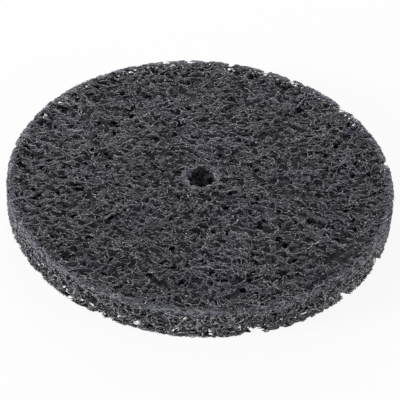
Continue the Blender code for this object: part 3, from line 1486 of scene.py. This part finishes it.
# Darker copy of the resin finish for the web inside: painted shade for the same web lying in shadow.
SHADED_INSIDE = ResinFinish(
    name="shaded_inner_fibre",
    dark=(0.015, 0.015, 0.020),
    pale=(0.046, 0.046, 0.057),
    cool=(0.029, 0.029, 0.044),
    grain_and_glint=(0.12, 0.12, 0.13),
    roughness=0.6,
    edge=0.0,
    sheen=0.2,
)
FELT = ResinFinish(
    name="resined_felt",
    dark=(0.014, 0.014, 0.019),
    pale=(0.058, 0.059, 0.073),
    cool=(0.038, 0.038, 0.060),
    grain_and_glint=(0.16, 0.16, 0.18),
    edge=0.6,
    roughness=0.58,
    sheen=0.18,
)


@dataclass(frozen=True)
class GritFinish:
    """Grey abrasive crystals with a dull glint.

    Attributes:
        name: Name of the material.
        dark: Colour of crystals under resin.
        pale: Colour of bare crystals.
        roughness: Usual roughness.
    """

    name: str = "grey_grit"
    dark: Colour = (0.09, 0.09, 0.10)
    pale: Colour = (0.68, 0.68, 0.71)
    roughness: float = 0.32

    def make(self) -> Material:
        """Builds the material's nodes.

        Returns:
            The new material.
        """
        nodes = Nodes(self.name)
        cover = nodes.noise(nodes.place, scale=1300.0, detail=1.0)
        bared = nodes.ramp(cover, low=0.4, high=0.62)
        nodes.link(nodes.mix(bared, self.dark, self.pale), "Base Color")
        dull, glossy = self.roughness + 0.2, self.roughness - 0.1
        nodes.link(nodes.ramp(cover, low=0.3, high=0.7, first=dull, last=glossy), "Roughness")
        nodes.bump(nodes.noise(nodes.place, scale=6000.0, detail=2.0), strength=0.4, distance=0.00005)
        return nodes.material


GRIT = GritFinish()


@dataclass(frozen=True)
class Piece:
    """A piece of the wheel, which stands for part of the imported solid.

    Attributes:
        name: Its name.
        shape: Its shape.
        finish: Its finish.
    """

    name: str
    shape: Shape
    finish: ResinFinish | GritFinish

    def make(self, material: Material) -> bpy.types.Object:
        """Makes and dresses the piece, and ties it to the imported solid.

        Args:
            material: The material of its finish.

        Returns:
            The new piece.
        """
        piece = self.shape.make(self.name)
        piece.data.materials.append(material)
        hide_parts(NODE)
        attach(piece, BODY)
        LOG.info("%s: %d triangles", self.name, triangle_count(piece))
        return piece


@dataclass(frozen=True)
class Section:
    """A section of the wheel, whose sizes are in millimetres.

    Attributes:
        blank: The blank that it is part of.
        web: The voids that its strands keep out of.
    """

    blank: Blank
    web: Web

    def strands(self, *lays: Lay) -> Shape:
        """Builds strands of one or more layers in one shape, and keeps them between the faces.

        Args:
            *lays: How the strands of each layer lie.

        Returns:
            Their shape.
        """
        shape = reduce(Shape.joined, [Strands(self.blank, self.web, lay).build() for lay in lays])
        skim = self.blank.skim
        shape.verts[:, 2] = np.clip(shape.verts[:, 2], skim, self.blank.thickness - skim)
        return shape

    def films(self, *films: Film) -> Shape:
        """Builds one or more sheets in one shape."""
        return reduce(Shape.joined, [film.build() for film in films])


@dataclass(frozen=True)
class UpperFace(Section):
    """The upper face: a pressed skin of strands, a nap of short hairs, and the felt between.

    Attributes:
        strand_count: Number of strands in the skin.
        strand_rise: Lowest and highest start of those strands over the face.
        hair_count: Number of hairs in the nap.
        hair_rise: Lowest and highest start of the hairs over the face.
        felt_rise: Height of the felt over the face, before the press reached it.
    """

    strand_count: int = 1500
    strand_rise: tuple[float, float] = (0.4, 2.4)
    hair_count: int = 2700
    hair_rise: tuple[float, float] = (0.2, 3.0)
    felt_rise: float = 0.7

    def build(self) -> list[Piece]:
        """Builds the face.

        Returns:
            Its skin, its nap and its felt.
        """
        top, near, far = self.blank.thickness, self.blank.bore, self.blank.radius
        skin = Lay(
            wrap=Wrap.LEVEL, strands=self.strand_count, points=24, step=0.8,
            low=top + self.strand_rise[0], high=top + self.strand_rise[1], inner=near, outer=far,
            width=0.25, height=0.10, tilt=0.06, firm=0.8, seed=1, crossing=0.05,
            yields=0.15, torn=0.05, curl=0.7,
        )
        nap = Lay(
            wrap=Wrap.LEVEL, strands=self.hair_count, points=8, step=0.5,
            low=top + self.hair_rise[0], high=top + self.hair_rise[1], inner=near, outer=far,
            width=0.10, height=0.09, tilt=0.2, firm=0.4, seed=11, crossing=0.2,
            yields=0.15, torn=0.25,
        )
        felt = Film(
            self.blank, self.web, wrap=Wrap.LEVEL, level=top + self.felt_rise,
            inner=near + 0.2, outer=far, spacing=0.66, thick=0.34, waves=0.3, torn=0.0,
            seed=21, felt=0.14, skin=True, yields=0.25,
        )
        return [
            Piece("upper_skin", self.strands(skin), FIBRE),
            Piece("upper_nap", self.strands(nap), BARE_AND_HIGHLIT),
            Piece("upper_felt", self.films(felt), FELT),
        ]


@dataclass(frozen=True)
class Rim(Section):
    """The rim: the strands that the punch cut, loose hairs, and the felt behind them.

    Attributes:
        wall_count: Number of strands over the whole wall.
        upper_count: Number of strands along the upper edge.
        lower_count: Number of strands along the lower edge.
        inward_count: Number of strands that run inwards behind the wall.
        hair_count: Number of loose hairs.
        depth: How far inside of the rim the strands of the wall start.
        overhang: How far outside of the rim strands along an edge start, before they are cut.
    """

    wall_count: int = 950
    upper_count: int = 260
    lower_count: int = 150
    inward_count: int = 280
    hair_count: int = 2300
    depth: float = 3.0
    overhang: float = 0.8

    def build(self) -> list[Piece]:
        """Builds the rim.

        Returns:
            Its web, its nap and its felt.
        """
        top, far = self.blank.thickness, self.blank.radius
        inner, outer = far - 1.2, far + self.overhang
        wall = Lay(
            wrap=Wrap.ROUND, strands=self.wall_count, points=18, step=0.95,
            low=0.2, high=top - 0.2, inner=far - self.depth, outer=far + 0.4,
            width=0.25, height=0.2, tilt=0.45, firm=0.4, seed=3, crossing=0.2,
        )
        upper = Lay(
            wrap=Wrap.ROUND, strands=self.upper_count, points=18, step=1.0,
            low=top - 1.4, high=top + 0.2, inner=inner, outer=outer,
            width=0.24, height=0.18, tilt=0.1, firm=0.5, seed=7, crossing=0.4, carded=1.0,
        )
        lower = Lay(
            wrap=Wrap.ROUND, strands=self.lower_count, points=18, step=1.0,
            low=-0.6, high=1.2, inner=inner, outer=outer,
            width=0.24, height=0.18, tilt=0.3, firm=0.5, seed=8, crossing=0.4, carded=1.0,
        )
        inward = Lay(
            wrap=Wrap.LEVEL, strands=self.inward_count, points=18, step=1.1,
            low=1.2, high=top - 1.2, inner=far - 12.0, outer=far,
            width=0.25, height=0.21, tilt=0.8, firm=0.1, seed=9, crossing=0.2,
        )
        nap = Lay(
            wrap=Wrap.ROUND, strands=self.hair_count, points=8, step=0.5,
            low=0.0, high=top, inner=far - 0.9, outer=far + 0.9,
            width=0.10, height=0.09, tilt=0.3, firm=0.3, seed=12, crossing=0.3,
            yields=0.4, torn=0.8,
        )
        near_felt = Film(
            self.blank, self.web, wrap=Wrap.ROUND, level=far - 0.8, inner=0.1, outer=top - 0.1,
            spacing=0.75, thick=0.34, waves=0.3, torn=-0.15, seed=31, felt=0.12, skin=True, yields=0.6,
        )
        far_felt = Film(
            self.blank, self.web, wrap=Wrap.ROUND, level=far - 4.0, inner=0.4, outer=top - 0.6,
            spacing=1.5, thick=0.4, waves=0.6, torn=1.4, seed=34, yields=0.5,
        )
        return [
            Piece("rim_web", self.strands(wall, upper, lower, inward), BARE_AND_HIGHLIT),
            Piece("rim_nap", self.strands(nap), HIGHLIT_HAIR),
            Piece("rim_felt", self.films(near_felt, far_felt), FELT),
        ]


@dataclass(frozen=True)
class Core(Section):
    """The web inside, which shows through the openings of the faces.

    Attributes:
        upper_count: Number of strands under the upper skin.
        middle_count: Number of the thick strands in the middle.
        lower_count: Number of strands over the lower skin.
        margin: Distance of these strands from the rim.
        collar: Width of the ring round the bore without felt.
    """

    upper_count: int = 260
    middle_count: int = 110
    lower_count: int = 170
    margin: float = 13.0
    collar: float = 0.6

    def build(self) -> list[Piece]:
        """Builds the inside.

        Returns:
            Its web and its felt.
        """
        top, near, far = self.blank.thickness, self.blank.bore, self.blank.radius
        waist, start = far - self.margin, near + self.collar
        upper = Lay(
            wrap=Wrap.LEVEL, strands=self.upper_count, points=18, step=1.4,
            low=top - 4.6, high=top - 1.8, inner=near, outer=waist,
            width=0.27, height=0.22, tilt=0.55, firm=0.2, seed=2,
        )
        middle = Lay(
            wrap=Wrap.LEVEL, strands=self.middle_count, points=18, step=2.0,
            low=4.4, high=top - 4.4, inner=near, outer=waist,
            width=0.45, height=0.4, tilt=0.4, firm=0.0, seed=4,
        )
        lower = Lay(
            wrap=Wrap.LEVEL, strands=self.lower_count, points=18, step=1.4,
            low=1.2, high=4.6, inner=near, outer=waist,
            width=0.27, height=0.22, tilt=0.55, firm=0.2, seed=5,
        )
        upper_felt = Film(
            self.blank, self.web, wrap=Wrap.LEVEL, level=top - 2.7, inner=start, outer=far - 2.0,
            spacing=1.6, thick=0.4, waves=0.3, torn=1.8, seed=41,
        )
        lower_felt = Film(
            self.blank, self.web, wrap=Wrap.LEVEL, level=3.0, inner=start, outer=far - 2.0,
            spacing=2.0, thick=0.4, waves=0.4, torn=1.6, seed=43,
        )
        lining = Film(
            self.blank, self.web, wrap=Wrap.LEVEL, level=top / 2 - 0.4, inner=start, outer=far - 5.0,
            spacing=2.4, thick=0.4, waves=0.5, torn=NEVER, seed=44, yields=0.0,
        )
        return [
            # The inner web and felt take the darker finish: painted shade.
            Piece("inner_web", self.strands(upper, middle, lower), SHADED_INSIDE),
            Piece("inner_felt", self.films(upper_felt, lower_felt, lining), SHADED_INSIDE),
        ]


@dataclass(frozen=True)
class Bore(Section):
    """The wall of the bore.

    Attributes:
        strand_count: Number of strands round the bore.
        depth: How far outside of the bore they start.
        felt_depth: How far outside of the bore the felt lies.
    """

    strand_count: int = 80
    depth: float = 2.4
    felt_depth: float = 1.2

    def build(self) -> list[Piece]:
        """Builds the wall.

        Returns:
            Its web and its felt.
        """
        top, near = self.blank.thickness, self.blank.bore
        web = Lay(
            wrap=Wrap.ROUND, strands=self.strand_count, points=12, step=0.7,
            low=0.2, high=top - 0.1, inner=near + 0.4, outer=near + self.depth,
            width=0.16, height=0.12, tilt=0.5, firm=0.4, seed=10, crossing=0.3,
        )
        felt = Film(
            self.blank, self.web, wrap=Wrap.ROUND, level=near + self.felt_depth,
            inner=0.2, outer=top - 0.3, spacing=0.6, thick=0.3, waves=0.35, torn=0.3,
            seed=47, felt=0.14, skin=True, yields=0.5,
        )
        return [
            Piece("bore_web", self.strands(web), FIBRE),
            Piece("bore_felt", self.films(felt), FELT),
        ]


@dataclass(frozen=True)
class LowerFace(Section):
    """The lower face: a pressed skin of strands and the felt between them.

    Attributes:
        strand_count: Number of strands in the skin.
        strand_rise: Lowest and highest start of those strands over the face.
        felt_rise: Height of the felt over the face, before the press reached it.
    """

    strand_count: int = 900
    strand_rise: tuple[float, float] = (-2.0, 0.1)
    felt_rise: float = -0.25

    def build(self) -> list[Piece]:
        """Builds the face.

        Returns:
            Its skin and its felt.
        """
        near, far = self.blank.bore, self.blank.radius
        skin = Lay(
            wrap=Wrap.LEVEL, strands=self.strand_count, points=20, step=1.0,
            low=self.strand_rise[0], high=self.strand_rise[1], inner=near, outer=far,
            width=0.21, height=0.13, tilt=0.08, firm=0.85, seed=6, crossing=0.08,
            yields=0.4, torn=0.0,
        )
        felt = Film(
            self.blank, self.web, wrap=Wrap.LEVEL, level=self.felt_rise, inner=near + 0.2, outer=far,
            spacing=1.05, thick=0.34, waves=0.14, torn=0.0, seed=27, felt=0.12, skin=True, yields=0.35,
        )
        return [
            Piece("lower_skin", self.strands(skin), FIBRE),
            Piece("lower_felt", self.films(felt), FELT),
        ]


@dataclass(frozen=True)
class Grain:
    """The abrasive grain on the outside of the web. Sizes are in millimetres.

    Attributes:
        blank: The blank that it is part of.
        upper_count: Number of crystals on the upper face.
        rim_count: Number of crystals on the rim.
        lower_count: Number of crystals on the lower face.
        face_depth: How deep below a face crystals still sit.
        rim_depth: How deep inside of the rim crystals still sit.
    """

    blank: Blank
    upper_count: int = 10000
    rim_count: int = 3200
    lower_count: int = 1500
    face_depth: float = 1.1
    rim_depth: float = 1.6

    def build(self, web: list[Piece]) -> Piece:
        """Builds the crystals of the whole wheel.

        Args:
            web: The pieces that carry them.

        Returns:
            The grain.
        """
        verts = {piece.name: piece.shape.verts for piece in web}
        upper = np.concatenate([verts["upper_skin"], verts["upper_felt"]])
        lower = np.concatenate([verts["lower_skin"], verts["lower_felt"]])
        wall = np.concatenate([verts["rim_web"], verts["rim_felt"]])
        upper = upper[upper[:, 2] > self.blank.thickness - self.face_depth]
        lower = lower[lower[:, 2] < self.face_depth]
        wall = wall[np.hypot(wall[:, 0], wall[:, 1]) > self.blank.radius - self.rim_depth]
        sets = [
            Grit(self.blank, self.upper_count, least=0.08, most=0.19, seed=51).build(upper),
            Grit(self.blank, self.rim_count, least=0.12, most=0.27, seed=54).build(wall),
            Grit(self.blank, self.lower_count, least=0.09, most=0.2, seed=57).build(lower),
        ]
        return Piece("grit", reduce(Shape.joined, sets), GRIT)


@dataclass(frozen=True)
class Wheel:
    """The whole wheel, of its sections and its grain.

    Attributes:
        blank: The punched blank.
        web: Its voids.
    """

    blank: Blank
    web: Web

    @classmethod
    def fitted(cls, low: Vector, high: Vector) -> "Wheel":
        """Makes the wheel that fits a box.

        Args:
            low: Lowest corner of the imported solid, in metres.
            high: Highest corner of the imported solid, in metres.

        Returns:
            The wheel.
        """
        blank = Blank(radius=(high.x - low.x) / 2 / MM, thickness=(high.z - low.z) / MM)
        top = blank.thickness
        large = Pits(blank).build(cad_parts[NODE])
        medium = Lattice(
            blank, pitch=3.4, heights=(4.2, 6.35, top - 4.2), inner=6.0, least=0.45, most=1.15, seed=11
        ).build()
        small = Lattice(
            blank, pitch=1.9, heights=(0.4, 2.8, 5.2, 7.5, 9.9, top - 0.4), inner=5.6, least=0.25,
            most=0.55, seed=14,
        ).build()
        LOG.info("voids: %d, %d and %d", *(len(voids.radii) for voids in (large, medium, small)))
        return cls(blank, Web(Tears(blank, large), (large, medium, small)))

    def build(self) -> list[bpy.types.Object]:
        """Builds and dresses every piece.

        Returns:
            The new pieces.
        """
        pieces = []
        for section in (UpperFace, Rim, Core, Bore, LowerFace):
            pieces += section(self.blank, self.web).build()
        pieces.append(Grain(self.blank).build(pieces))
        materials = {finish: finish.make() for finish in dict.fromkeys(piece.finish for piece in pieces)}
        made = [piece.make(materials[piece.finish]) for piece in pieces]
        LOG.info("in all: %d triangles", sum(triangle_count(piece) for piece in made))
        return made


def triangle_count(piece: bpy.types.Object) -> int:
    """Counts the triangles of a piece's mesh."""
    return len(piece.data.loops) - 2 * len(piece.data.polygons)


@dataclass(frozen=True)
class Lamp:
    """A square lamp that faces the wheel.

    Attributes:
        name: Its name.
        power: Its power in watts.
        size: Length of its sides in metres.
        place: Where it stands, in metres.
    """

    name: str
    power: float
    size: float
    place: tuple[float, float, float]

    def add(self) -> None:
        """Adds the lamp to the scene."""
        data = bpy.data.lights.new(self.name, "AREA")
        data.energy = self.power
        data.size = self.size
        lamp = bpy.data.objects.new(self.name, data)
        lamp.location = self.place
        lamp.rotation_euler = (-Vector(self.place)).to_track_quat("-Z", "Y").to_euler()
        bpy.context.scene.collection.objects.link(lamp)


@dataclass(frozen=True)
class Studio:
    """The floor, the lamps and the camera.

    Attributes:
        elevation: Height of the camera over the upper face's middle, in degrees.
        distance: Distance of the camera from there, in metres.
        lens: Focal length in millimetres, for the 36 mm sensor.
        lower: How far below that middle the camera aims, in degrees.
        side: How far to the right of that middle the camera aims, in degrees.
        roll: Turn of the camera about its axis, in degrees.
        floor_reach: Distance of the floor's sides from the middle, in metres.
        floor_drop: How far the floor lies under the wheel, in metres.
        floor_tone: Colour of the floor's matt part.
        floor_glow: Share of plain white in what is seen of the floor.
        ambient: Strength of the world's light on the wheel.
        lamps: A broad key lamp on the left, a fill lamp on the right and one behind the wheel.
    """

    elevation: float = 40.7
    distance: float = 0.7024
    lens: float = 163.7
    lower: float = 0.743
    side: float = 0.02
    roll: float = 3.72
    floor_reach: float = 3.0
    floor_drop: float = 0.00005
    floor_tone: Colour = (0.95, 0.95, 0.95)
    floor_glow: float = 0.9
    ambient: float = 0.37
    lamps: tuple[Lamp, ...] = (
        Lamp(name="key", power=10.5, size=0.3, place=(-0.95, -0.36, 0.32)),
        Lamp(name="fill", power=5.0, size=0.4, place=(1.00, -0.28, 0.20)),
        Lamp(name="rear", power=8.0, size=0.5, place=(-0.15, 1.0, 0.32)),
    )

    def build(self, middle: Vector) -> None:
        """Builds everything round the wheel.

        Args:
            middle: Middle of the wheel's upper face.
        """
        self.add_camera(middle)
        self.add_floor()
        for lamp in self.lamps:
            lamp.add()
        self.add_world()
        bpy.context.scene.view_settings.view_transform = "Standard"

    def add_camera(self, middle: Vector) -> None:
        """Adds the camera where the photograph was taken from.

        Args:
            middle: Middle of the wheel's upper face.
        """
        data = bpy.data.cameras.new("camera")
        data.lens = self.lens
        data.clip_start = 0.01
        camera = bpy.data.objects.new("camera", data)
        high = math.radians(self.elevation)
        place = middle + Vector((0, -math.cos(high), math.sin(high))) * self.distance
        turn = Matrix.Rotation(-math.radians(self.side), 4, "Z")
        turn @= Matrix.Rotation(math.radians(90 - self.elevation - self.lower), 4, "X")
        turn @= Matrix.Rotation(math.radians(self.roll), 4, "Z")
        camera.matrix_world = Matrix.Translation(place) @ turn
        bpy.context.scene.collection.objects.link(camera)
        bpy.context.scene.camera = camera

    def add_floor(self) -> None:
        """Adds a white floor that shows a faint shadow."""
        reach, height = self.floor_reach, -self.floor_drop
        corners = [(x * reach, y * reach, height) for x, y in ((-1, -1), (1, -1), (1, 1), (-1, 1))]
        mesh = bpy.data.meshes.new("floor")
        mesh.from_pydata(corners, [], [(0, 1, 2, 3)])
        floor = bpy.data.objects.new("floor", mesh)
        bpy.context.scene.collection.objects.link(floor)
        material = bpy.data.materials.new("floor_white")
        material.use_nodes = True
        tree = material.node_tree
        tree.nodes.clear()
        out = tree.nodes.new("ShaderNodeOutputMaterial")
        seen = self.seen_share(tree)
        matt = tree.nodes.new("ShaderNodeBsdfDiffuse")
        matt.inputs["Color"].default_value = (*self.floor_tone, 1.0)
        white = tree.nodes.new("ShaderNodeEmission")
        white.inputs["Strength"].default_value = 1.0
        mix = tree.nodes.new("ShaderNodeMixShader")
        share = tree.nodes.new("ShaderNodeMath")
        share.operation = "MULTIPLY"
        share.inputs[1].default_value = self.floor_glow
        tree.links.new(seen, share.inputs[0])
        tree.links.new(share.outputs[0], mix.inputs[0])
        tree.links.new(matt.outputs[0], mix.inputs[1])
        tree.links.new(white.outputs[0], mix.inputs[2])
        tree.links.new(mix.outputs[0], out.inputs["Surface"])
        mesh.materials.append(material)
        floor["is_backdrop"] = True

    @staticmethod
    def seen_share(tree: bpy.types.NodeTree) -> Socket:
        """Adds nodes that give 1 for rays of the camera and for mirrored and refracted ones.

        Args:
            tree: Nodes of the material or world.

        Returns:
            The output socket.
        """
        path = tree.nodes.new("ShaderNodeLightPath")
        total = path.outputs["Is Camera Ray"]
        for name in ("Is Glossy Ray", "Is Transmission Ray"):
            add = tree.nodes.new("ShaderNodeMath")
            add.operation = "MAXIMUM"
            tree.links.new(total, add.inputs[0])
            tree.links.new(path.outputs[name], add.inputs[1])
            total = add.outputs[0]
        return total

    def add_world(self) -> None:
        """Adds a soft pale world that the camera sees as white."""
        world = bpy.data.worlds.new("world")
        bpy.context.scene.world = world
        world.use_nodes = True
        tree = world.node_tree
        back = tree.nodes["Background"]
        seen = self.seen_share(tree)
        strength = tree.nodes.new("ShaderNodeMapRange")
        strength.inputs["To Min"].default_value = self.ambient
        strength.inputs["To Max"].default_value = 1.0
        tree.links.new(seen, strength.inputs["Value"])
        tree.links.new(strength.outputs["Result"], back.inputs["Strength"])
        back.inputs["Color"].default_value = (1.0, 1.0, 1.0, 1.0)


def main() -> None:
    """Builds the wheel and the studio round it."""
    logging.basicConfig(level=logging.INFO, format="%(message)s")
    low, high = (Vector(corner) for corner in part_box(NODE))
    Wheel.fitted(low, high).build()
    Studio().build(Vector((0, 0, high.z)))
    boxes = {"cad": cad_bounds, "scene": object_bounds()}
    boxes = {name: [list(corner) for corner in box] for name, box in boxes.items()}


if __name__ == "__main__":
    main()
